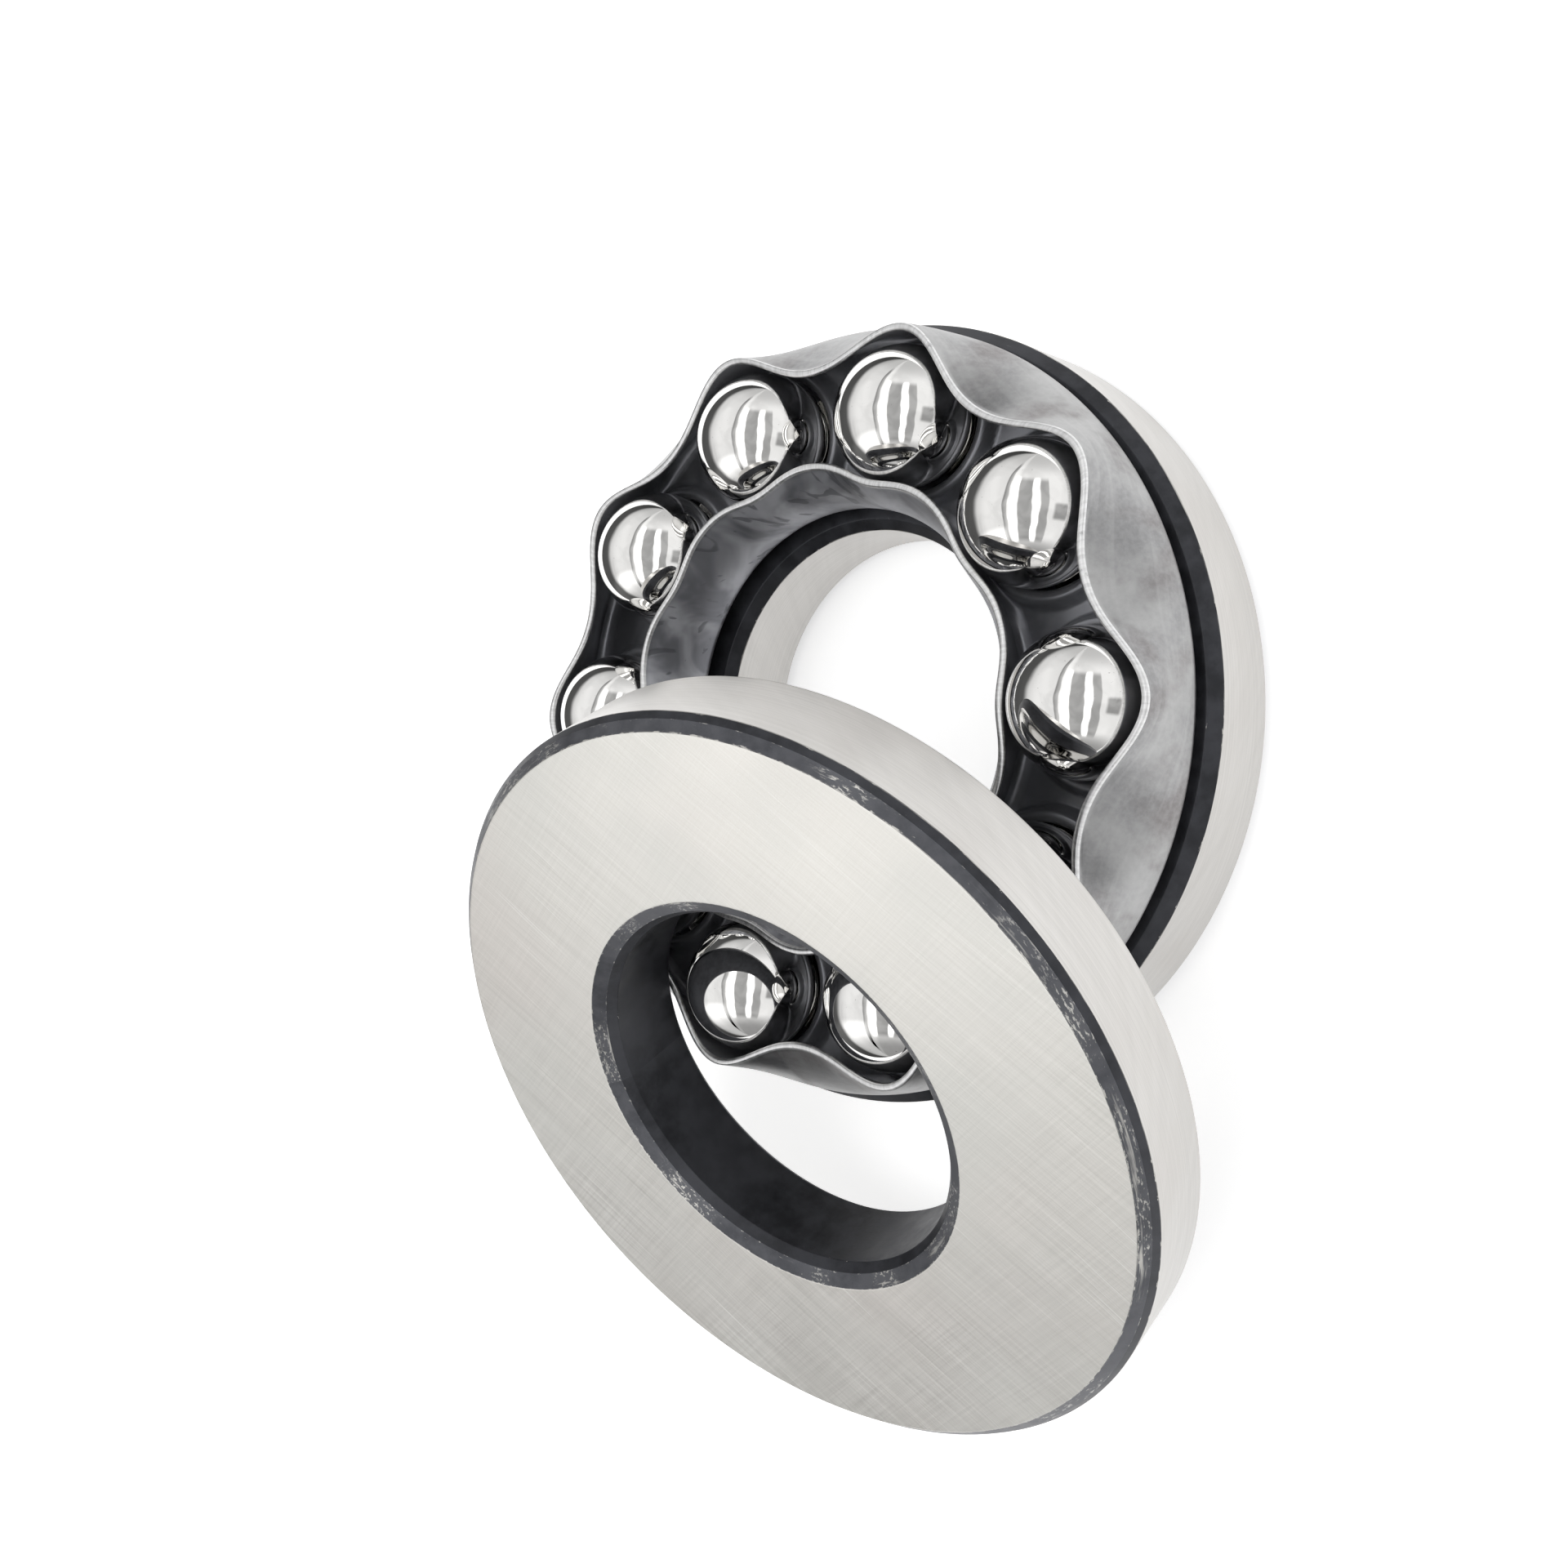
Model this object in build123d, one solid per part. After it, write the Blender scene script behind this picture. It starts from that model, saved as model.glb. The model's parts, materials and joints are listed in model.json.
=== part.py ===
from build123d import *
import math
import os

os.makedirs("parts", exist_ok=True)

# Single-direction thrust ball bearing, 100 x 210 x 85 mm, shown opened: the shaft washer lies on its
# ground seat with the cage and balls on its track, and the housing washer leans on them.
# All sizes are in mm. Z is the bearing axis, and z = 0 is the shaft washer's seat.

# overall sizes
BORE_D = 100.0
OUTSIDE_D = 210.0
BEARING_H = 85.0
WASHER_GAP = 30.0  # between the two washers of the closed bearing
HOUSING_BORE_STEP = 1.5  # how much wider the housing washer's bore is, all round

# balls and tracks
BALL_COUNT = 10
BALL_D = 36.5125
PITCH_OFFSET = 0.9  # ball circle's radius beyond the middle of the washer face
FIRST_BALL_DEG = -13.1
TRACK_CLEARANCE = 0.04
TRACK_CONFORMITY = 0.53

# edges of the washers
RIM_CHAMFER = 3.0
BACK_RIM_CHAMFER = 3.9
BORE_CHAMFER = 2.8
HOUSING_BORE_LAND = 1.7
HOUSING_BORE_FLARE = 3.5
HOUSING_BORE_FLARE_H = 2.0
HOUSING_BORE_STEP_H = 4.6

# pressed cage: its walls stand in from the washer's edges, and its rims wave between the balls
SHEET = 2.0
WEB_CLEARANCE = 3.0  # under the web, above the washer
OUTER_WALL_INSET = 3.0
INNER_WALL_INSET = 4.7
OUTER_RIM_RISE = 9.7  # above the ball centres
INNER_RIM_RISE = 9.1
OUTER_RIM_LEAN = 8.5
OUTER_WAVE = 6.3
INNER_RIM_LEAN = 6.9
INNER_WAVE = 1.7
CORNER_R = 3.0
POCKET_CLEARANCE = 1.1
LIP_RISE = 4.1
LIP_ROLL = 1.2
LIP_CREST = 2.3
LIP_FLANK = 2.8

# how the housing washer leans: its tilt, the heading it tips towards, its shift to one side,
# and the gap left to the cage and balls that it leans on
LEAN_TILT = 26.4
LEAN_HEADING = 187.5
LEAN_Y = -13.2
LEAN_CLEARANCE = 0.6
LEAN_STEP = 0.1

bore_r = BORE_D / 2
outer_r = OUTSIDE_D / 2
housing_bore_r = bore_r + HOUSING_BORE_STEP
washer_h = (BEARING_H - WASHER_GAP) / 2
ball_r = BALL_D / 2
ball_z = BEARING_H / 2
pitch_r = (bore_r + outer_r) / 2 + PITCH_OFFSET
track_r = BALL_D * TRACK_CONFORMITY
track_bottom_z = ball_z - ball_r - TRACK_CLEARANCE

web_z = washer_h + WEB_CLEARANCE
web_top = web_z + SHEET
outer_wall_r = outer_r - OUTER_WALL_INSET
inner_wall_r = bore_r + INNER_WALL_INSET
outer_rim_z = ball_z + OUTER_RIM_RISE
inner_rim_z = ball_z + INNER_RIM_RISE

lip_edge_z = web_top + LIP_RISE - LIP_ROLL
lip_edge_r = math.sqrt(ball_r**2 - (ball_z - lip_edge_z) ** 2) + POCKET_CLEARANCE
lip_crest_r = lip_edge_r + LIP_CREST
lip_foot_r = lip_crest_r + LIP_FLANK


def revolved(points):
    """Full ring from a closed (radius, z) outline."""
    outline = Polyline(*[(r, z) for r, z in points], close=True)
    return revolve(Plane.XZ * make_face(outline), Axis.Z)


def track_groove():
    """Torus that cuts the ball track into a washer whose seat is at z = 0."""
    return Pos(0, 0, track_bottom_z + track_r) * Torus(pitch_r, track_r)


def shaft_washer():
    inner, outer, top = bore_r, outer_r, washer_h
    ring = revolved(
        [
            (inner + BORE_CHAMFER, 0),
            (outer - RIM_CHAMFER, 0),
            (outer, RIM_CHAMFER),
            (outer, top - RIM_CHAMFER),
            (outer - RIM_CHAMFER, top),
            (inner + BORE_CHAMFER, top),
            (inner, top - BORE_CHAMFER),
            (inner, BORE_CHAMFER),
        ]
    )
    return ring - track_groove()


def housing_washer():
    """Built seat down like the shaft washer; the caller turns it over."""
    inner, outer, top = housing_bore_r, outer_r, washer_h
    step = inner + HOUSING_BORE_LAND
    ring = revolved(
        [
            (step + HOUSING_BORE_FLARE, 0),
            (outer - BACK_RIM_CHAMFER, 0),
            (outer, BACK_RIM_CHAMFER),
            (outer, top - RIM_CHAMFER),
            (outer - RIM_CHAMFER, top),
            (inner + BORE_CHAMFER / 2, top),
            (inner, top - BORE_CHAMFER / 2),
            (inner, HOUSING_BORE_STEP_H),
            (step, HOUSING_BORE_FLARE_H),
        ]
    )
    return ring - track_groove()


def rim_wave(phase):
    """Shape of the rims' wave: 1 at a ball, lowest between two balls."""
    return math.cos(phase) + 0.09 * math.cos(2 * phase)


def wavy_solid(levels):
    """Solid lofted through closed sections; each level is (z, mean radius, wave height)."""
    sections = []
    points_per_wave = 8
    count = BALL_COUNT * points_per_wave
    for z, radius, wave in levels:
        points = []
        for i in range(count):
            turn = 2 * math.pi * i / count
            r = radius + wave * rim_wave(BALL_COUNT * turn)
            points.append((r * math.cos(turn), r * math.sin(turn), z))
        sections.append(make_face(Spline(*points, periodic=True)))
    return loft(sections)


def wall_levels(base_r, rim_r, wave, rim_z, growth):
    """Levels from the web's rounded corner up to the wavy rim."""
    inwards = 1 if rim_r > base_r else -1
    levels = [
        (web_z, base_r + inwards * 0.73 * CORNER_R, 0),
        (web_z + 0.3 * CORNER_R, base_r + inwards * 0.29 * CORNER_R, 0),
        (web_z + CORNER_R, base_r, 0),
    ]
    start = web_z + CORNER_R
    for share in (0.25, 0.5, 0.75, 1.0):
        grown = share**growth
        levels.append(
            (start + share * (rim_z - start), base_r + grown * (rim_r - base_r), grown * wave)
        )
    return levels


def outer_wall():
    levels = wall_levels(outer_wall_r, outer_wall_r - OUTER_RIM_LEAN, OUTER_WAVE, outer_rim_z, 1.5)
    inside = [(z, r - SHEET, wave) for z, r, wave in levels]
    return wavy_solid(levels) - wavy_solid(inside)


def inner_wall():
    levels = wall_levels(inner_wall_r, inner_wall_r + INNER_RIM_LEAN, -INNER_WAVE, inner_rim_z, 2.0)
    outside = [(z, r + SHEET, wave) for z, r, wave in levels]
    return wavy_solid(outside) - wavy_solid(levels)


def pocket_lip():
    """Pressed-up lip round one pocket, centred on the Z axis."""
    crest_z = lip_edge_z + LIP_ROLL
    upper = Spline(
        (lip_foot_r, web_top),
        (lip_foot_r - 0.46 * LIP_FLANK, web_top + 0.45 * LIP_RISE),
        (lip_crest_r, crest_z),
        (lip_edge_r, lip_edge_z),
        tangents=[(-1, 0.3), (-0.4, -1)],
    )
    lower = Spline(
        (lip_edge_r + 0.1, lip_edge_z - 0.8 * SHEET),
        (lip_crest_r - 0.2, crest_z - SHEET),
        (lip_foot_r - 0.93 * LIP_FLANK, web_z + 0.4 * LIP_RISE),
        (lip_foot_r - 0.36 * LIP_FLANK, web_z),
        tangents=[(0.6, 0.8), (0.8, -0.5)],
    )
    closing = [
        Line(upper @ 1, lower @ 0),
        Line(lower @ 1, (lip_foot_r, web_z)),
        Line((lip_foot_r, web_z), upper @ 0),
    ]
    return revolve(Plane.XZ * make_face([upper, lower, *closing]), Axis.Z)


def around(shape):
    """The shape repeated at every ball's place, counted from the first ball on the X axis."""
    moved = Pos(pitch_r, 0, 0) * shape
    return [Rot(0, 0, 360 * i / BALL_COUNT) * moved for i in range(BALL_COUNT)]


def tube(inner_r, outer_r, bottom, top):
    height = top - bottom
    mid = Pos(0, 0, (bottom + top) / 2)
    return mid * Cylinder(outer_r, height) - mid * Cylinder(inner_r, height)


def cage():
    web = tube(inner_wall_r + 1.1, outer_wall_r - 1.1 - 0.6 * CORNER_R, web_z, web_z + SHEET)
    holes = around(Pos(0, 0, web_z) * Cylinder(lip_foot_r - 0.8, 4 * SHEET))
    for hole in holes:
        web -= hole
    zone = tube(inner_wall_r + 2.3, outer_wall_r - 2.3, web_z - 1, web_z + 20)
    body = outer_wall() + inner_wall() + web
    for lip in around(pocket_lip()):
        body += lip & zone
    return Rot(0, 0, FIRST_BALL_DEG) * body


def lean_axis():
    """Outward normal of the leaning washer's seat."""
    tilt, heading = math.radians(LEAN_TILT), math.radians(LEAN_HEADING)
    return (
        math.sin(tilt) * math.cos(heading),
        math.sin(tilt) * math.sin(heading),
        math.cos(tilt),
    )


def gap_to_washer(point, seat_centre):
    """Distance from a point to the leaning washer, taken as a ring with its lower bore edge bevelled."""
    offset = [p - c for p, c in zip(point, seat_centre)]
    depth = -sum(o * a for o, a in zip(offset, lean_axis()))
    radial = math.sqrt(max(0, sum(o * o for o in offset) - depth**2))
    out = max(housing_bore_r - radial, radial - outer_r)
    along = max(-depth, depth - washer_h)
    if out > 0 and along > 0:
        return math.hypot(out, along)
    bevel = BORE_CHAMFER / 2 - (radial - housing_bore_r) - (washer_h - depth)
    return max(out, along, bevel / math.sqrt(2))


def supports():
    """Points under the leaning washer, each with the radius of metal round it: cage rim and balls."""
    found = []
    for degree in range(0, 360, 2):
        turn = math.radians(degree)
        phase = BALL_COUNT * (turn - math.radians(FIRST_BALL_DEG))
        r = outer_wall_r - OUTER_RIM_LEAN + OUTER_WAVE * rim_wave(phase)
        found.append(((r * math.cos(turn), r * math.sin(turn), outer_rim_z), 0))
    for i in range(BALL_COUNT):
        turn = math.radians(FIRST_BALL_DEG + 360 * i / BALL_COUNT)
        found.append(((pitch_r * math.cos(turn), pitch_r * math.sin(turn), ball_z), ball_r))
    return found


def lean():
    """Location of the housing washer: seat face up, its lower rim on the floor, slid in along -X
    until it comes within the clearance of what it leans on."""
    tilt = math.radians(LEAN_TILT)
    corner = washer_h * math.cos(tilt) + (outer_r - RIM_CHAMFER) * math.sin(tilt)
    land = (washer_h - RIM_CHAMFER) * math.cos(tilt) + outer_r * math.sin(tilt)
    seat_z = max(corner, land)
    found = supports()
    x = -outer_r / 2
    while any(gap_to_washer(p, (x, LEAN_Y, seat_z)) < r + LEAN_CLEARANCE for p, r in found):
        x -= LEAN_STEP
    place = Pos(x, LEAN_Y, seat_z)
    return place * Rot(0, 0, LEAN_HEADING) * Rot(0, LEAN_TILT, 0) * Rot(180, 0, 0)


nodes = {
    "shaft_washer": shaft_washer(),
    "cage": cage(),
    "housing_washer": lean() * housing_washer(),
}
for i, place in enumerate(around(Pos(0, 0, ball_z) * Sphere(ball_r))):
    nodes[f"ball_{i + 1:02d}"] = Rot(0, 0, FIRST_BALL_DEG) * place

for name, shape in nodes.items():
    export_step(shape, f"parts/{name}.step")
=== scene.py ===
import json
import math

import bmesh
import bpy
from mathutils import Matrix, Vector


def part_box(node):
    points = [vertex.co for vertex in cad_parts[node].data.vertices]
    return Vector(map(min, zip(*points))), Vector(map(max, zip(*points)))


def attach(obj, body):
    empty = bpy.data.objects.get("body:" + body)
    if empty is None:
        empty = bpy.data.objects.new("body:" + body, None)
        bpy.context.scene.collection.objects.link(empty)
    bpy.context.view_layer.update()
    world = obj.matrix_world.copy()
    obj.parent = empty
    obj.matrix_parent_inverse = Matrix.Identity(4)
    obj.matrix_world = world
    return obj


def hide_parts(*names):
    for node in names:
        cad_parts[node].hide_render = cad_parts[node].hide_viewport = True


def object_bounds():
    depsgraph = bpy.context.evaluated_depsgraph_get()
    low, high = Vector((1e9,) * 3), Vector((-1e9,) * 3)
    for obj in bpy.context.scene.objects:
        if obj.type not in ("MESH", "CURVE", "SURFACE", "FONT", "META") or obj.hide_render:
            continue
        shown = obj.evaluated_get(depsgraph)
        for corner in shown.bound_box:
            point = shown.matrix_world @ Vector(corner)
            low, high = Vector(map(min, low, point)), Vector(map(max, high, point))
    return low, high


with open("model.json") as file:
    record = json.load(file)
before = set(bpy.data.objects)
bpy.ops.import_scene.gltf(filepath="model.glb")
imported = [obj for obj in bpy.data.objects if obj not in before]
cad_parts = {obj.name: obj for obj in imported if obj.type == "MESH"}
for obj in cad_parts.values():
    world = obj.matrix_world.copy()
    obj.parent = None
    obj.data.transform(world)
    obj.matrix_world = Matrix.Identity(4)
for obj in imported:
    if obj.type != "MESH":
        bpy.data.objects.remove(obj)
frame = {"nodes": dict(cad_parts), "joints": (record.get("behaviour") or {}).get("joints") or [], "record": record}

# Looks of an opened thrust ball bearing. Lengths are in metres; MM turns millimetres into them.
# The washers are turned profiles, the cage is one skin of sheet metal, the balls are spheres, and every piece
# sits where the frame has it.
MM = 0.001
cad_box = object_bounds()

# washers: edges and track, as on the real bearing
RIM_CHAMFER = 3.0 * MM
BACK_RIM_CHAMFER = 3.9 * MM
BORE_CHAMFER = 2.8 * MM
BORE_FLARE = 3.5 * MM
BORE_FLARE_H = 2.0 * MM
BORE_STEP = 1.7 * MM
BORE_STEP_H = 4.6 * MM
TRACK_CONFORMITY = 0.53
TRACK_CLEARANCE = 0.04 * MM
BACK_FACET = (0.34, 0.54)
EDGE_ROUND = 0.45 * MM
SMOOTH_BEND = math.radians(12)
EDGE_SHARE = 0.3
CALM_SHARE = 0.45
CALM_REACH = 4
HIDDEN_EDGE_WEAR = 0.55
ARC_RADIUS = 100 * MM

# cage sheet
SHEET = 2.0 * MM
WEB_Z = 30.5 * MM
OUTER_WALL_R = 102.0 * MM
INNER_WALL_R = 54.7 * MM
OUTER_RIM_R = 93.5 * MM
OUTER_WAVE = 6.3 * MM
INNER_RIM_R = 61.6 * MM
INNER_WAVE = 1.7 * MM
INNER_RIM_DROP = 0.6 * MM
CORNER_R = 3.0 * MM
LIP_R = 23.0 * MM
LIP_H = 4.1 * MM
LIP_ROLL = 1.2 * MM
LIP_CREST = 2.3 * MM
LIP_BLEND = 0.9 * MM
OUTER_WALL_CURVE = 1.5
INNER_WALL_CURVE = 2
WAVE_FULLNESS = 0.09
RIM_SWELL = 1.12
POCKET_CLEARANCE = 1.1 * MM

# fineness of the meshes
WASHER_STEPS = 360
TRACK_STEPS = 28
EDGE_STEPS = 4
STEPS_PER_POCKET = 48
POCKET_SIDE_STEPS = 22
POCKET_RINGS = 16
CORNER_STEPS = 6
WALL_STEPS = 26
RIM_STEPS = 6
BALL_CUTS = 30
WELD = 0.02 * MM

# camera
CAMERA_AT = Vector((0.0, -0.28207, 0.37950))
CAMERA_YAW = math.radians(4.0286)
CAMERA_PITCH = math.radians(-48.7615)
CAMERA_ROLL = math.radians(-88.3058)
LENS_MM = 38.02
SENSOR_MM = 36.0

# light: the tent's parts are (low, high) in degrees over the object, 0 at the -Y horizon, 90 overhead,
# 180 at the +Y horizon, and (low, high) in the X part of the direction
SEAM, SEAM_REACH = (95.5, 102.5), (-0.95, 0.9)
BARS = ((82, 91), (48, 57))
PANES = ((58, 80), (34, 48))
WINDOW_REACH = (-0.74, 0.68)
DIM_PATCH, DIM_PATCH_REACH = (4, 24), (-0.22, 0.16)
SAG_DEG = 10.0
FLOOR_FILL = 0.64
BACKDROP = 0.97
KEY_AT, KEY_AIM = (-0.1, 0.8, 1.5), (0, 0, 0.03)
KEY_SIZE, KEY_WATTS = 0.9, 5
FLOOR_HALF_WIDTH = 6.0
FLOOR_GAP = 0.05 * MM

joints = {j["name"]: j for j in frame["joints"]}


def size_of(node):
    low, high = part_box(node)
    return Vector(low), Vector(high)


# ---------------------------------------------------------------- measurements taken from the frame
shaft_low, shaft_high = size_of("shaft_washer")
cage_low, cage_high = size_of("cage")
ball_names = sorted(n for n in frame["nodes"] if n.startswith("ball_"))
ball_centres = {n: (size_of(n)[0] + size_of(n)[1]) / 2 for n in ball_names}
first_ball = ball_centres[ball_names[0]]
ball_r = (size_of(ball_names[0])[1].z - size_of(ball_names[0])[0].z) / 2
ball_count = len(ball_names)
ball_z = first_ball.z
pitch_r = first_ball.xy.length
first_angle = math.atan2(first_ball.y, first_ball.x)
outer_r = (shaft_high.x - shaft_low.x) / 2
washer_h = shaft_high.z - shaft_low.z
mounts = {m["name"]: m for m in frame["record"]["mounts"]}
shaft_bore_r = mounts["shaft_bore"]["dims"]["r_mm"] * MM
housing_bore_r = mounts["housing_bore"]["dims"]["r_mm"] * MM
lean_axis = Vector(joints["housing_washer_spin"]["axis"]).normalized()
lean_seat = Vector(joints["housing_washer_spin"]["pos_m"]) + lean_axis * washer_h / 2
track_r = 2 * ball_r * TRACK_CONFORMITY
track_depth = washer_h - (ball_z - ball_r - TRACK_CLEARANCE)


# ---------------------------------------------------------------- material building
class Nodes:
    """Short way to write a node tree."""

    def __init__(self, tree):
        self.tree = tree
        tree.nodes.clear()

    def add(self, kind, values=None, **settings):
        node = self.tree.nodes.new(kind)
        for key, value in settings.items():
            setattr(node, key, value)
        for key, value in (values or {}).items():
            self.put(node.inputs[key], value)
        return node

    def put(self, socket, value):
        if isinstance(value, bpy.types.NodeSocket):
            self.tree.links.new(value, socket)
        else:
            socket.default_value = value

    def math(self, operation, a, b=0.0, c=0.0):
        node = self.add("ShaderNodeMath", operation=operation)
        for socket, value in zip(node.inputs, (a, b, c)):
            self.put(socket, value)
        return node.outputs[0]

    def range(self, value, low, high, to_low=0.0, to_high=1.0, smooth=True):
        node = self.add("ShaderNodeMapRange", interpolation_type="SMOOTHSTEP" if smooth else "LINEAR")
        for index, number in enumerate((value, low, high, to_low, to_high)):
            self.put(node.inputs[index], number)
        return node.outputs[0]

    def scale(self, value, factor):
        return self.math("MULTIPLY", value, factor)

    def mix(self, share, a, b):
        node = self.add("ShaderNodeMix", data_type="RGBA")
        for index, value in ((0, share), (6, a), (7, b)):
            self.put(node.inputs[index], value)
        return node.outputs[2]

    def blend(self, share, a, b):
        return self.add("ShaderNodeMix", {0: share, 2: a, 3: b}, data_type="FLOAT").outputs[0]

    def noise(self, where, scale, detail=3.0, roughness=0.5, distortion=0.0):
        node = self.add("ShaderNodeTexNoise", {"Vector": where, "Scale": scale, "Detail": detail,
                                               "Roughness": roughness, "Distortion": distortion})
        return node.outputs["Fac"]

    def streaks(self, where, degrees, per_metre, detail=3.0, roughness=0.5, distortion=0.0):
        """Noise in coordinates turned about Z, then stretched to so many features per metre each way."""
        turned = self.add("ShaderNodeMapping", {"Vector": where, "Rotation": (0, 0, math.radians(degrees))})
        stretched = self.add("ShaderNodeMapping", {"Vector": turned.outputs[0], "Scale": per_metre})
        return self.noise(stretched.outputs[0], 1.0, detail, roughness, distortion)

    def attribute(self, name):
        return self.add("ShaderNodeAttribute", attribute_name=name).outputs["Fac"]


def rgb(hex_colour):
    """Linear colour of an sRGB hex string."""
    parts = [int(hex_colour[i:i + 2], 16) / 255 for i in (0, 2, 4)]
    return tuple(p / 12.92 if p <= 0.04045 else ((p + 0.055) / 1.055) ** 2.4 for p in parts) + (1.0,)


def material(name, build, turned_ring=False):
    """A node material. A turned ring's mesh is built in place, so its own coordinates are on its vertices."""
    mat = bpy.data.materials.new(name)
    mat.use_nodes = True
    n = Nodes(mat.node_tree)
    out = n.add("ShaderNodeOutputMaterial")
    shader = n.add("ShaderNodeBsdfPrincipled")
    n.put(out.inputs["Surface"], shader.outputs[0])
    if turned_ring:
        where = n.add("ShaderNodeAttribute", attribute_name="ring_place").outputs["Vector"]
    else:
        where = n.add("ShaderNodeTexCoord").outputs["Object"]
    build(n, shader, where)
    return mat


def bump(n, shader, height, distance, strength=1.0):
    node = n.add("ShaderNodeBump", {"Height": height, "Distance": distance, "Strength": strength})
    n.put(shader.inputs["Normal"], node.outputs[0])


def ring_coords(n, where):
    """(arc length, height, radius) round the piece's own Z axis."""
    x, y, z = n.add("ShaderNodeSeparateXYZ", {"Vector": where}).outputs
    turn = n.math("ARCTAN2", y, x)
    radius = n.math("SQRT", n.math("ADD", n.math("MULTIPLY", x, x), n.math("MULTIPLY", y, y)))
    arc = n.scale(turn, ARC_RADIUS)
    return n.add("ShaderNodeCombineXYZ", {"X": arc, "Y": z, "Z": radius}).outputs[0]


def finish(n, shader, base, metallic, roughness):
    for name, value in (("Base Color", base), ("Metallic", metallic), ("Roughness", roughness)):
        n.put(shader.inputs[name], value)


def seat_steel(n, shader, where):
    """Surface-ground face: straight fine lines one way, a few crossing, and cloudy tints."""
    fine = n.streaks(where, 46, (22, 2300, 1), 2.0, 0.6)
    long_lines = n.streaks(where, 43, (9, 700, 1), 4.0, 0.75)
    cross = n.streaks(where, -38, (40, 1500, 1), 2.0, 0.6)
    hair = n.streaks(where, 49, (16, 1900, 1), 1.0)
    region = n.noise(where, 14.0, 2.0)
    cloud = n.noise(where, 26.0, 2.0)
    tint = n.noise(where, 11.0, 1.0)
    lines = n.math("ADD", n.scale(fine, 0.4), n.scale(long_lines, 0.35))
    lines = n.math("ADD", lines, n.scale(cross, 0.25))
    shade = n.range(lines, 0.30, 0.70, smooth=False)
    base = n.mix(shade, rgb("d6d4ce"), rgb("f5f3ee"))
    base = n.mix(n.range(cloud, 0.35, 0.7, 0.0, 0.22), base, rgb("d9dcd8"))
    base = n.mix(n.range(tint, 0.45, 0.75, 0.0, 0.25), base, rgb("e6dad5"))
    scratch = n.math("MULTIPLY", n.range(hair, 0.67, 0.73), n.range(region, 0.45, 0.6))
    base = n.mix(n.scale(scratch, 0.8), base, rgb("fbfaf6"))
    finish(n, shader, base, 1.0, n.range(n.math("ADD", shade, cloud), 0.5, 1.5, 0.30, 0.42))
    bump(n, shader, lines, 0.06 * MM, 0.55)


def band_steel(n, shader, where):
    """Centreless-ground band: lines run round the ring, with faint slanted streaks."""
    coords = ring_coords(n, where)
    round_lines = n.streaks(coords, 0, (10, 2600, 1), 2.0, 0.6)
    slanted = n.streaks(coords, 32, (16, 260, 1), 3.0, 0.6)
    cloud = n.noise(where, 30.0, 2.0)
    lines = n.math("ADD", n.scale(round_lines, 0.68), n.scale(slanted, 0.32))
    shade = n.range(lines, 0.34, 0.66, smooth=False)
    base = n.mix(shade, rgb("bfbdba"), rgb("cdcbc8"))
    base = n.mix(n.range(cloud, 0.4, 0.7, 0.0, 0.2), base, rgb("c3beba"))
    finish(n, shader, base, 1.0, n.range(cloud, 0.3, 0.7, 0.30, 0.40))
    bump(n, shader, shade, 0.01 * MM, 0.4)


def track_steel(n, shader, where):
    """Honed ball track: nearly a mirror, with hair-fine rings."""
    rings = n.streaks(ring_coords(n, where), 0, (6, 1, 3200), 2.0, 0.6)
    base = n.mix(rings, rgb("b9b8b5"), rgb("d6d5d2"))
    finish(n, shader, base, 1.0, n.range(rings, 0.3, 0.7, 0.08, 0.16))
    bump(n, shader, rings, 0.02 * MM, 0.3)


def black_skin(low, high, haze, scuffs):
    """Heat-treated unground steel between two dark tones: scuffed streaks, and edges rubbed bright."""

    def build(n, shader, where):
        skin_nodes(n, shader, where, rgb(low), rgb(high), rgb(haze), scuffs)

    return build


def skin_nodes(n, shader, where, low, high, haze, scuffs):
    coords = ring_coords(n, where)
    mottle = n.noise(where, 160.0, 4.0, 0.6)
    cloud = n.noise(coords, 22.0, 3.0, 0.55)
    streak = n.streaks(coords, 0, (40, 700, 700), 4.0, 0.7)
    nick = n.streaks(coords, 0, (260, 900, 900), 5.0, 0.75)
    edge = n.attribute("edge")
    rubbed = n.math("MULTIPLY", n.range(streak, 0.70 - scuffs, 0.82 - scuffs), n.range(cloud, 0.46, 0.60))
    nick = n.math("ADD", nick, n.scale(edge, 0.17))
    nicks = n.range(nick, 0.74 - 0.6 * scuffs, 0.79 - 0.6 * scuffs)
    rubbed = n.math("MAXIMUM", rubbed, nicks)
    if scuffs:
        fleck = n.streaks(coords, 0, (420, 1300, 1300), 4.0, 0.7)
        flecks = n.math("MULTIPLY", n.range(fleck, 0.54, 0.62), n.range(cloud, 0.50, 0.60))
        rubbed = n.math("MAXIMUM", rubbed, flecks)
    ragged = n.scale(n.math("SUBTRACT", streak, 0.5), 1.6)
    worn_edge = n.range(n.math("ADD", edge, ragged), 0.85, 1.25)
    bright = n.math("MAXIMUM", n.scale(rubbed, 0.9), n.scale(worn_edge, 0.8))
    dark = n.mix(n.range(mottle, 0.3, 0.7), low, high)
    dark = n.mix(n.range(cloud, 0.4, 0.75, 0.0, 0.6), dark, haze)
    finish(n, shader, n.mix(bright, dark, rgb("c9c7c2")),
           n.range(bright, 0.0, 1.0, 0.55, 1.0, smooth=False), n.range(mottle, 0.25, 0.75, 0.34, 0.5))
    bump(n, shader, n.math("ADD", mottle, n.scale(streak, 0.6)), 0.06 * MM, 0.5)


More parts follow.
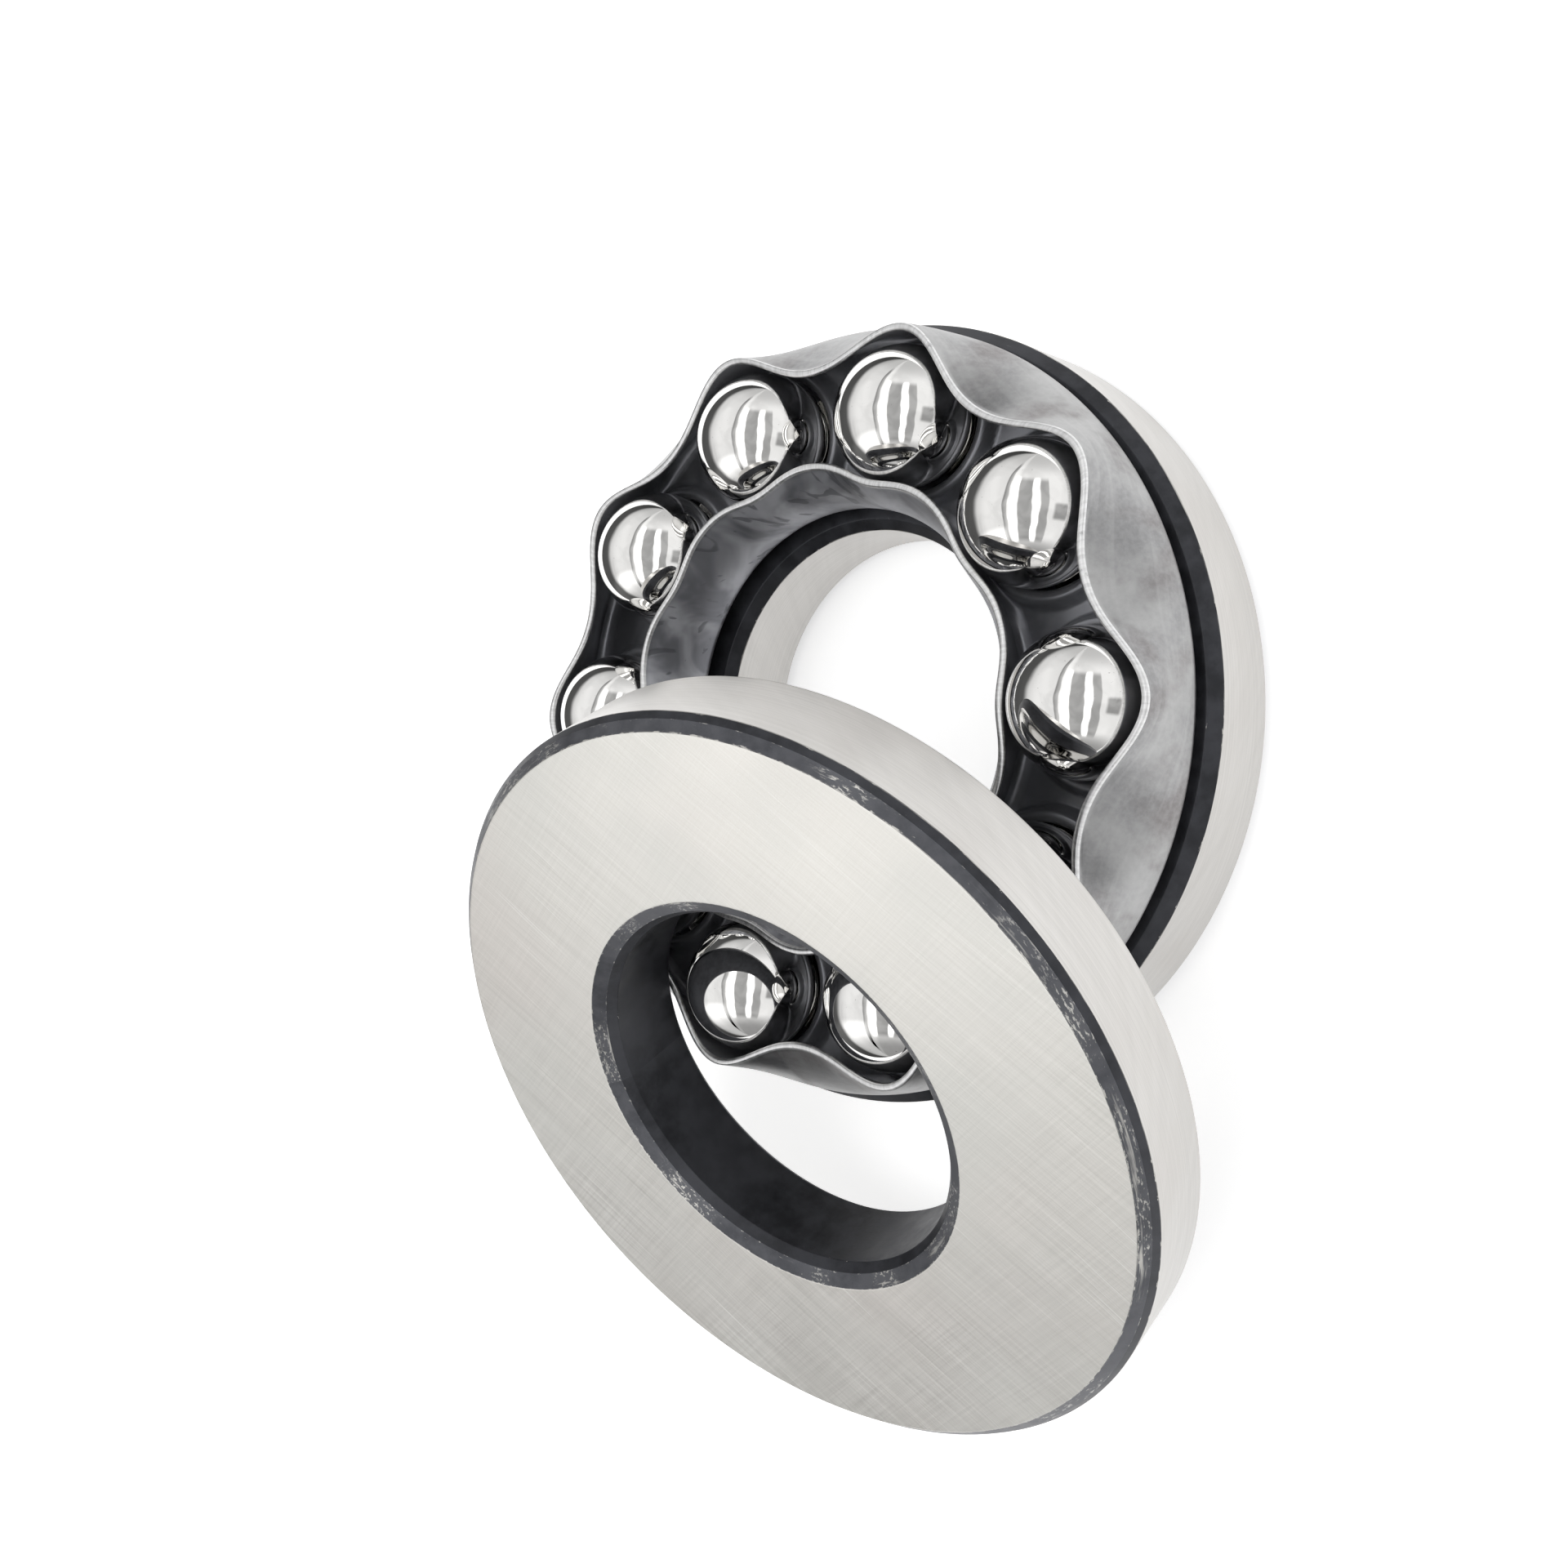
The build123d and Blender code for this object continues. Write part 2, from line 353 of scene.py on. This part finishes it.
def cage_outside(n, shader, where):
    """Pressed sheet, bare side: satin grey with cloudy stains, drawing marks and fine scratches."""
    coords = ring_coords(n, where)
    cloud = n.streaks(coords, 0, (34, 42, 1), 4.0, 0.55, 0.2)
    stain = n.streaks(coords, 0, (60, 48, 1), 3.0, 0.6, 0.15)
    scratch = n.streaks(coords, 78, (90, 2400, 1), 3.0, 0.7)
    draw = n.streaks(coords, 8, (20, 500, 1), 2.0, 0.6)
    grain = n.noise(where, 700.0, 3.0, 0.6)
    base = n.mix(n.range(cloud, 0.35, 0.65), rgb("8c8c8d"), rgb("ababab"))
    base = n.mix(n.range(stain, 0.46, 0.68, 0.0, 0.7), base, rgb("7b7676"))
    base = n.mix(n.range(draw, 0.45, 0.7, 0.0, 0.12), base, rgb("cfcfcf"))
    base = n.mix(n.range(scratch, 0.70, 0.78, 0.0, 0.25), base, rgb("dadada"))
    base = n.mix(n.range(grain, 0.3, 0.7, 0.0, 0.18), base, rgb("c4c4c4"))
    finish(n, shader, base, 1.0, n.range(n.math("ADD", cloud, stain), 0.7, 1.3, 0.30, 0.46))
    bump(n, shader, n.math("ADD", cloud, n.scale(grain, 0.05)), 0.12 * MM, 0.4)


def cage_inside(n, shader, where):
    """Pressed sheet, channel side: blackened and glossy, with soft ripples from the press."""
    smear = n.noise(where, 60.0, 3.0, 0.5, 0.6)
    grit = n.noise(where, 600.0, 3.0, 0.6)
    base = n.mix(n.range(smear, 0.35, 0.72), rgb("7a7b80"), rgb("999a9f"))
    finish(n, shader, base, 0.7, n.range(smear, 0.3, 0.7, 0.30, 0.44))
    bump(n, shader, n.math("ADD", smear, n.scale(grit, 0.08)), 0.05 * MM, 0.35)


def cage_bore_side(n, shader, where):
    """Bore side of the inner wall: dark grey with short pressed creases, bumped in and darkened as painted shade.
    """
    coords = ring_coords(n, where)
    cloud = n.streaks(coords, 0, (40, 60, 1), 3.0, 0.55, 0.6)
    crease = n.streaks(coords, 55, (95, 45, 1), 2.0, 0.5, 1.8)
    crease_dips_and_shade = n.range(crease, 0.60, 0.66)
    base = n.mix(n.range(cloud, 0.35, 0.7), rgb("77787d"), rgb("b2b3b8"))
    # painted shade: the creases are darkened in the base colour, standing in for the shade that falls in them
    base = n.mix(n.scale(crease_dips_and_shade, 0.6), base, rgb("55565a"))
    finish(n, shader, base, 0.8, n.range(cloud, 0.3, 0.7, 0.36, 0.5))
    bump(n, shader, n.math("SUBTRACT", cloud, n.scale(crease_dips_and_shade, 0.4)), 0.15 * MM, 0.5)


def cut_edge(n, shader, where):
    """Sheared rim of the sheet: bright, with fine marks across it."""
    coords = ring_coords(n, where)
    shear = n.streaks(coords, 0, (900, 60, 60), 3.0, 0.6)
    nick = n.noise(coords, 240.0, 4.0, 0.7)
    base = n.mix(n.range(shear, 0.3, 0.7), rgb("c9c9c9"), rgb("e2e2e2"))
    base = n.mix(n.range(nick, 0.62, 0.72, 0.0, 0.5), base, rgb("8a8a8d"))
    finish(n, shader, base, 1.0, n.range(shear, 0.3, 0.7, 0.28, 0.42))
    bump(n, shader, shear, 0.01 * MM, 0.4)


def ball_chrome(n, shader, where):
    """Lapped ball: mirror finish with the faintest haze, specks and hair scratches."""
    haze = n.noise(where, 90.0, 3.0, 0.5)
    hair = n.streaks(where, 35, (60, 4200, 300), 3.0, 0.7)
    speck = n.noise(where, 1500.0, 2.0, 0.6)
    base = n.mix(n.range(speck, 0.70, 0.76, 0.0, 0.5), rgb("edecea"), rgb("9a9896"))
    dulled = n.math("ADD", haze, n.range(hair, 0.68, 0.75, 0.0, 0.5))
    finish(n, shader, base, 1.0, n.range(dulled, 0.4, 1.2, 0.035, 0.10))
    bump(n, shader, haze, 0.03 * MM, 0.12)


# materials by the zone of a washer's outline, and by the side of the cage's sheet
SEAT, BAND, TRACK, SKIN, PALE_SKIN = range(5)
washer_mats = [material(name, build, turned_ring=True) for name, build in (
    ("seat_ground_steel", seat_steel),
    ("band_ground_steel", band_steel),
    ("track_honed_steel", track_steel),
    ("black_heat_treated_steel", black_skin("26272b", "3a3b40", "4c4d52", 0.0)),
    ("black_steel_rubbed", black_skin("45464b", "5a5b60", "6d6e72", 0.12)),
)]
OUTSIDE, INSIDE, BORE_SIDE, CUT = range(4)
cage_mats = [material(name, build) for name, build in (
    ("cage_satin_outside", cage_outside),
    ("cage_black_inside", cage_inside),
    ("cage_grey_bore_side", cage_bore_side),
    ("cage_sheared_rim", cut_edge),
)]
ball_mat = material("ball_mirror_chrome", ball_chrome)


# ---------------------------------------------------------------- washers
def groove_points():
    """Track arc on the face opposite the seat, from the outer edge inwards, as (radius, height)."""
    centre = -(washer_h - track_depth + track_r)
    half = math.acos((track_r - track_depth) / track_r)
    points = []
    for i in range(TRACK_STEPS + 1):
        a = half * (1 - 2 * i / TRACK_STEPS)
        points.append((pitch_r + track_r * math.sin(a), centre + track_r * math.cos(a)))
    return points


def washer_outline(bore_r, back_chamfer, stepped):
    """Corners (radius, height, zone of the stretch that follows); the seat is at height 0 and faces up."""
    h = -washer_h
    corners = [
        (outer_r - back_chamfer, 0, PALE_SKIN),
        (outer_r - BACK_FACET[0] * back_chamfer, -BACK_FACET[1] * back_chamfer, SKIN),
        (outer_r, -back_chamfer, BAND),
        (outer_r, h + RIM_CHAMFER, SKIN),
        (outer_r - RIM_CHAMFER, h, SKIN),
    ]
    arc = groove_points()
    corners += [(r, z, TRACK) for r, z in arc[:-1]] + [(*arc[-1], SKIN)]
    if stepped:
        corners += [
            (bore_r + BORE_CHAMFER / 2, h, SKIN),
            (bore_r, h + BORE_CHAMFER / 2, SKIN),
            (bore_r, -BORE_STEP_H, SKIN),
            (bore_r + BORE_STEP, -BORE_FLARE_H, PALE_SKIN),
            (bore_r + BORE_STEP + BORE_FLARE, 0, SEAT),
        ]
    else:
        corners += [
            (bore_r + BORE_CHAMFER, h, SKIN),
            (bore_r, h + BORE_CHAMFER, BAND),
            (bore_r, -BORE_CHAMFER, SKIN),
            (bore_r + BORE_CHAMFER, 0, SEAT),
        ]
    return corners


def rounded(corners):
    """Outline points (radius, height, zone after, edge wear) with a small arc at each real corner."""
    points = []
    count = len(corners)
    for i, (r, z, zone) in enumerate(corners):
        here = Vector((r, z))
        before = Vector(corners[i - 1][:2]) - here
        after = Vector(corners[(i + 1) % count][:2]) - here
        bend = math.pi - before.angle(after)
        zone_before = corners[i - 1][2]
        if bend < SMOOTH_BEND:
            points.append((r, z, zone, 0.0))
            continue
        reach = min(EDGE_ROUND * math.tan(bend / 2),
                    EDGE_SHARE * before.length, EDGE_SHARE * after.length)
        start, end = here + before.normalized() * reach, here + after.normalized() * reach
        calm_before = here + before.normalized() * min(reach * CALM_REACH, CALM_SHARE * before.length)
        calm_after = here + after.normalized() * min(reach * CALM_REACH, CALM_SHARE * after.length)
        points.append((*calm_before, zone_before, 0.0))
        worn = 1.0 if {zone, zone_before} & {SEAT, BAND} else HIDDEN_EDGE_WEAR
        for k in range(EDGE_STEPS + 1):
            t = k / EDGE_STEPS
            p = start * (1 - t) ** 2 + here * 2 * t * (1 - t) + end * t ** 2
            points.append((*p, zone_before if k < EDGE_STEPS / 2 else zone, worn))
        points.append((*calm_after, zone, 0.0))
    return points


def turned(name, node, body, outline, place):
    """A ring turned about local Z from its outline, put in place and standing for a CAD node."""
    mesh = bmesh.new()
    wear = mesh.verts.layers.float.new("edge")
    own_place = mesh.verts.layers.float_vector.new("ring_place")
    rings = []
    for r, z, _, edge in outline:
        ring = []
        for i in range(WASHER_STEPS):
            a = 2 * math.pi * i / WASHER_STEPS
            own = Vector((r * math.cos(a), r * math.sin(a), z))
            v = mesh.verts.new(place @ own)
            v[wear], v[own_place] = edge, own
            ring.append(v)
        rings.append(ring)
    for j, (_, _, zone, _) in enumerate(outline):
        ring, following = rings[j], rings[(j + 1) % len(rings)]
        for i in range(WASHER_STEPS):
            k = (i + 1) % WASHER_STEPS
            face = mesh.faces.new((ring[i], following[i], following[k], ring[k]))
            face.material_index = zone
            face.smooth = True
    piece = finish_mesh(name, mesh, washer_mats)
    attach(piece, body)
    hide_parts(node)
    return piece


def finish_mesh(name, mesh, mats):
    bmesh.ops.recalc_face_normals(mesh, faces=mesh.faces)
    data = bpy.data.meshes.new(name)
    mesh.to_mesh(data)
    mesh.free()
    for mat in mats:
        data.materials.append(mat)
    piece = bpy.data.objects.new(name, data)
    bpy.context.scene.collection.objects.link(piece)
    return piece


def facing(axis, origin):
    """Matrix whose local +Z is the seat's outward normal and whose local X is level."""
    level = Vector((-axis.y, axis.x, 0)) if axis.xy.length > 1e-6 else Vector((1, 0, 0))
    x = level.normalized()
    y = axis.cross(x)
    return Matrix.Translation(origin) @ Matrix((x, y, axis)).transposed().to_4x4()


turned("shaft_washer_steel", "shaft_washer", "shaft_washer",
       rounded(washer_outline(shaft_bore_r, RIM_CHAMFER, False)),
       facing(Vector((0, 0, -1)), Vector((0, 0, shaft_low.z))))
turned("housing_washer_steel", "housing_washer", "housing_washer",
       rounded(washer_outline(housing_bore_r, BACK_RIM_CHAMFER, True)),
       facing(lean_axis, lean_seat))


# ---------------------------------------------------------------- cage
web_top = WEB_Z + SHEET
lip_crest_z = web_top + LIP_H
lip_edge_r = math.sqrt(ball_r ** 2 - (ball_z - lip_crest_z + LIP_ROLL) ** 2) + POCKET_CLEARANCE
lip_crest_r = lip_edge_r + LIP_CREST
floor_outer_r = OUTER_WALL_R - SHEET - CORNER_R
floor_inner_r = INNER_WALL_R + SHEET + CORNER_R
sector = 2 * math.pi / ball_count


def lip_height(rho):
    """Height of the pressed lip above the web at a distance from its pocket's centre."""
    if rho >= LIP_R:
        return 0.0
    if rho >= lip_crest_r:
        return LIP_H * (0.5 + 0.5 * math.cos(math.pi * (rho - lip_crest_r) / (LIP_R - lip_crest_r)))
    share = min(1.0, (lip_crest_r - rho) / (lip_crest_r - lip_edge_r))
    return LIP_H - LIP_ROLL * share ** 2


def sheet_top(r, turn):
    """Height of the channel floor; turn is counted from a pocket's centre line."""
    near = turn - sector * round(turn / sector)
    rho = math.hypot(r * math.cos(near) - pitch_r, r * math.sin(near))
    return web_top + lip_height(rho)


def wave(turn):
    """Swing of a rim at an angle from a pocket's centre line: out at the ball, in between balls."""
    phase = ball_count * turn
    return math.cos(phase) + WAVE_FULLNESS * math.cos(2 * phase)


def wall_radius(turn, share, outer):
    """Radius of a wall's side away from the balls, at a share of the height above the corner."""
    if outer:
        grown = share ** OUTER_WALL_CURVE
        return OUTER_WALL_R + grown * (OUTER_RIM_R - OUTER_WALL_R + OUTER_WAVE * wave(turn))
    grown = share ** INNER_WALL_CURVE
    return INNER_WALL_R + grown * (INNER_RIM_R - INNER_WALL_R - INNER_WAVE * wave(turn))


def soft_max(a, b, reach):
    """The larger of two heights, eased where they are within reach of each other."""
    return max(a, b) + 0.25 * max(0.0, reach - abs(a - b))


def wall_column(turn, outer):
    """Section of a wall, from the channel floor over the rim to the underside.

    Each entry is (radius, height, material of the stretch that follows).
    """
    inward = -1 if outer else 1
    base = OUTER_WALL_R if outer else INNER_WALL_R
    rim_z = cage_high.z - (0 if outer else INNER_RIM_DROP)
    side = OUTSIDE if outer else BORE_SIDE
    start = WEB_Z + CORNER_R
    top_z = rim_z - SHEET / 2
    floor_r = floor_outer_r if outer else floor_inner_r
    floor_z = sheet_top(floor_r, turn)

    def skin_radius(z):
        return wall_radius(turn, (z - start) / (rim_z - start), outer)

    column = [(floor_r, floor_z, INSIDE)]
    for i in range(1, CORNER_STEPS + 1):
        a = math.pi / 2 * i / CORNER_STEPS
        r = floor_r - inward * CORNER_R * math.sin(a)
        lip = sheet_top(r, turn) if i < CORNER_STEPS else floor_z
        column.append((r, soft_max(web_top + CORNER_R * (1 - math.cos(a)), lip, LIP_BLEND), INSIDE))
    low = column[-1][1]
    for i in range(1, WALL_STEPS + 1):
        z = low + (top_z - low) * i / WALL_STEPS
        column.append((skin_radius(z) + inward * SHEET, z, INSIDE))
    middle = skin_radius(top_z) + inward * SHEET / 2
    for i in range(RIM_STEPS + 1):
        a = math.pi * i / RIM_STEPS
        rise = SHEET / 2 * min(1, RIM_SWELL * math.sin(a))
        column.append((middle + inward * SHEET / 2 * math.cos(a), top_z + rise, CUT))
    column[-1] = (*column[-1][:2], side)
    for i in range(1, WALL_STEPS + 1):
        z = top_z + (start - top_z) * i / WALL_STEPS
        column.append((skin_radius(z), z, side))
    for i in range(1, CORNER_STEPS + 1):
        a = math.pi / 2 * i / CORNER_STEPS
        column.append((base + inward * CORNER_R * (1 - math.cos(a)), start - CORNER_R * math.sin(a), side))
    column.append((floor_r, max(WEB_Z, floor_z - SHEET), side))
    return column


def cage_vertex(mesh, r, turn, z):
    a = turn + first_angle
    return mesh.verts.new((r * math.cos(a), r * math.sin(a), z))


def cage_quad(mesh, corners, side):
    face = mesh.faces.new(corners)
    face.material_index = side
    face.smooth = True


def build_wall(mesh, outer):
    columns = []
    for i in range(STEPS_PER_POCKET * ball_count):
        turn = sector * (i - STEPS_PER_POCKET / 2) / STEPS_PER_POCKET
        columns.append([(cage_vertex(mesh, r, turn, z), side) for r, z, side in wall_column(turn, outer)])
    for i, here in enumerate(columns):
        there = columns[(i + 1) % len(columns)]
        for j in range(len(here) - 1):
            cage_quad(mesh, (here[j][0], here[j + 1][0], there[j + 1][0], there[j][0]), here[j][1])


def pocket_outline():
    """Edge of one pocket's share of the channel floor, as (radius, angle from the pocket's centre line)."""
    width = floor_inner_r - floor_outer_r
    turns = [sector * (i / STEPS_PER_POCKET - 0.5) for i in range(STEPS_PER_POCKET + 1)]
    shares = [i / POCKET_SIDE_STEPS for i in range(1, POCKET_SIDE_STEPS)]
    outline = [(floor_outer_r, turn) for turn in turns]
    outline += [(floor_outer_r + width * share, sector / 2) for share in shares]
    outline += [(floor_inner_r, -turn) for turn in turns]
    outline += [(floor_inner_r - width * share, -sector / 2) for share in shares]
    return outline


def build_pocket(mesh, centre):
    """Channel floor round one ball hole, top and underside, with the pressed lip."""
    lines = []
    for r, turn in pocket_outline():
        x, y = r * math.cos(turn) - pitch_r, r * math.sin(turn)
        away = math.hypot(x, y)
        line = []
        for k in range(POCKET_RINGS + 1):
            rho = lip_edge_r + (away - lip_edge_r) * k / POCKET_RINGS
            px, py = pitch_r + x / away * rho, y / away * rho
            point_r, point_turn = math.hypot(px, py), math.atan2(py, px)
            z = sheet_top(point_r, point_turn)
            line.append([cage_vertex(mesh, point_r, centre + point_turn, height)
                         for height in (z, max(WEB_Z, z - SHEET))])
        lines.append(line)
    for i, here in enumerate(lines):
        there = lines[(i + 1) % len(lines)]
        cage_quad(mesh, (here[0][1], there[0][1], there[0][0], here[0][0]), INSIDE)
        for k in range(POCKET_RINGS):
            cage_quad(mesh, (here[k][0], here[k + 1][0], there[k + 1][0], there[k][0]), INSIDE)
            cage_quad(mesh, (here[k][1], there[k][1], there[k + 1][1], here[k + 1][1]), INSIDE)


def build_cage():
    mesh = bmesh.new()
    for outer in (True, False):
        build_wall(mesh, outer)
    for pocket in range(ball_count):
        build_pocket(mesh, pocket * sector)
    bmesh.ops.remove_doubles(mesh, verts=mesh.verts, dist=WELD)
    piece = finish_mesh("cage_pressed_sheet", mesh, cage_mats)
    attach(piece, "cage")
    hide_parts("cage")


build_cage()


# ---------------------------------------------------------------- balls
def build_ball(node):
    """Ball as a subdivided cube swept onto the sphere, so that its reflections have no poles."""
    mesh = bmesh.new()
    bmesh.ops.create_cube(mesh, size=2)
    bmesh.ops.subdivide_edges(mesh, edges=mesh.edges, cuts=BALL_CUTS, use_grid_fill=True)
    for v in mesh.verts:
        tangent = Vector([math.tan(c * math.pi / 4) for c in v.co])
        v.co = tangent.normalized() * ball_r
    for face in mesh.faces:
        face.smooth = True
    piece = finish_mesh(node + "_chrome", mesh, [ball_mat])
    centre = ball_centres[node]
    spin = math.atan2(centre.y, centre.x)
    piece.matrix_world = Matrix.Translation(centre) @ Matrix.Rotation(spin, 4, "Z")
    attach(piece, node)
    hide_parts(node)


for ball_name in ball_names:
    build_ball(ball_name)


# ---------------------------------------------------------------- floor, light and camera
def floor_paint(n, shader, where):
    """Matt white sheet that glows a little, so that the shaded parts of it stay pale."""
    grain = n.noise(where, 40.0, 3.0)
    n.put(shader.inputs["Base Color"], n.mix(grain, (0.93, 0.93, 0.93, 1), (0.95, 0.95, 0.95, 1)))
    for name, value in (("Roughness", 0.9), ("Specular IOR Level", 0.1),
                        ("Emission Color", (1, 1, 1, 1)), ("Emission Strength", 0.62)):
        shader.inputs[name].default_value = value


def build_floor():
    mesh = bmesh.new()
    bmesh.ops.create_grid(mesh, x_segments=8, y_segments=8, size=FLOOR_HALF_WIDTH)
    floor = finish_mesh("floor", mesh, [material("pale_floor", floor_paint)])
    floor.location.z = cad_box[0][2] - FLOOR_GAP


def tent_level(n, direction):
    """Brightness of the light tent: dimmer behind, a dark seam overhead, and a window of bars and panes."""
    x, y, z = n.add("ShaderNodeSeparateXYZ", {"Vector": direction}).outputs
    sag = n.math("SUBTRACT", n.noise(direction, 1.9, 1.0, 0.5), 0.5)
    over = n.scale(n.math("ARCTAN2", z, n.scale(y, -1.0)), 180 / math.pi)
    over = n.math("ADD", over, n.scale(sag, SAG_DEG))

    def band(value, limits, soft):
        low, high = limits
        rise = n.range(value, low - soft, low + soft)
        fall = n.range(value, high - soft, high + soft, 1.0, 0.0)
        return n.math("MULTIPLY", rise, fall)

    def either(ranges, soft):
        return n.math("MAXIMUM", *(band(over, limits, soft) for limits in ranges))

    def changed(level, where, by):
        return n.math("ADD", level, n.scale(where, by))

    behind = n.math("MULTIPLY", n.range(over, 128, 168, 1.62, 0.98), n.range(x, -0.58, -0.40, 1.0, 0.58))
    ahead = n.range(over, 80, 90, 0.98, 1.25)
    level = n.blend(n.range(over, 96, 103), ahead, behind)
    crumple = n.noise(direction, 1.7, 2.0, 0.5, 0.8)
    for dimming in (n.range(crumple, 0.35, 0.65, 0.92, 1.05), n.range(x, -0.95, -0.62, 0.36, 1.0),
                    n.range(over, 149, 161, 1.0, 0.16), n.range(x, 0.72, 1.0, 1.0, 0.6)):
        level = n.math("MULTIPLY", level, dimming)
    window = band(x, WINDOW_REACH, 0.06)
    level = changed(level, n.math("MULTIPLY", either(PANES, 1.0), window), -0.50)
    level = changed(level, n.math("MULTIPLY", either(BARS, 2.5), window), 1.7)
    level = changed(level, n.math("MULTIPLY", band(over, SEAM, 0.8), band(x, SEAM_REACH, 0.05)), -0.6)
    patch = n.math("MULTIPLY", band(over, DIM_PATCH, 3.0), band(x, DIM_PATCH_REACH, 0.05))
    return changed(level, patch, -0.55)


def build_world():
    """The tent as the metal mirrors it, an even fill on the floor, and a plain pale backdrop."""
    world = bpy.data.worlds.new("light_tent")
    bpy.context.scene.world = world
    world.use_nodes = True
    n = Nodes(world.node_tree)
    out = n.add("ShaderNodeOutputWorld")
    background = n.add("ShaderNodeBackground", {"Strength": 1.0})
    n.put(out.inputs["Surface"], background.outputs[0])
    level = tent_level(n, n.add("ShaderNodeTexCoord").outputs["Generated"])
    tent = n.add("ShaderNodeCombineColor", {0: level, 1: level, 2: level}).outputs[0]
    rays = n.add("ShaderNodeLightPath")
    for ray, grey in (("Is Diffuse Ray", FLOOR_FILL), ("Is Camera Ray", BACKDROP)):
        tent = n.mix(rays.outputs[ray], tent, (grey, grey, grey, 1))
    n.put(background.inputs["Color"], tent)


def build_key_light():
    """Soft square light from behind; the metal doesn't mirror it."""
    light = bpy.data.lights.new("key_from_behind", "AREA")
    light.shape, light.size, light.energy = "SQUARE", KEY_SIZE, KEY_WATTS
    lamp = bpy.data.objects.new("key_from_behind", light)
    lamp.location = KEY_AT
    lamp.rotation_euler = (Vector(KEY_AIM) - Vector(KEY_AT)).to_track_quat("-Z", "Y").to_euler()
    lamp.visible_glossy = False
    bpy.context.scene.collection.objects.link(lamp)


def build_camera():
    right = Vector((math.cos(CAMERA_YAW), math.sin(CAMERA_YAW), 0))
    ahead = Vector((-math.sin(CAMERA_YAW) * math.cos(CAMERA_PITCH),
                    math.cos(CAMERA_YAW) * math.cos(CAMERA_PITCH), math.sin(CAMERA_PITCH)))
    up = right.cross(ahead)
    x_axis = right * math.cos(CAMERA_ROLL) + up * math.sin(CAMERA_ROLL)
    y_axis = up * math.cos(CAMERA_ROLL) - right * math.sin(CAMERA_ROLL)
    data = bpy.data.cameras.new("camera")
    data.lens, data.sensor_width = LENS_MM, SENSOR_MM
    data.clip_start = 0.01
    camera = bpy.data.objects.new("camera", data)
    turned_to = Matrix((x_axis, y_axis, -ahead)).transposed().to_4x4()
    camera.matrix_world = Matrix.Translation(CAMERA_AT) @ turned_to
    bpy.context.scene.collection.objects.link(camera)
    bpy.context.scene.camera = camera


build_floor()
build_world()
build_key_light()
build_camera()
bpy.context.scene.view_settings.view_transform = "Standard"
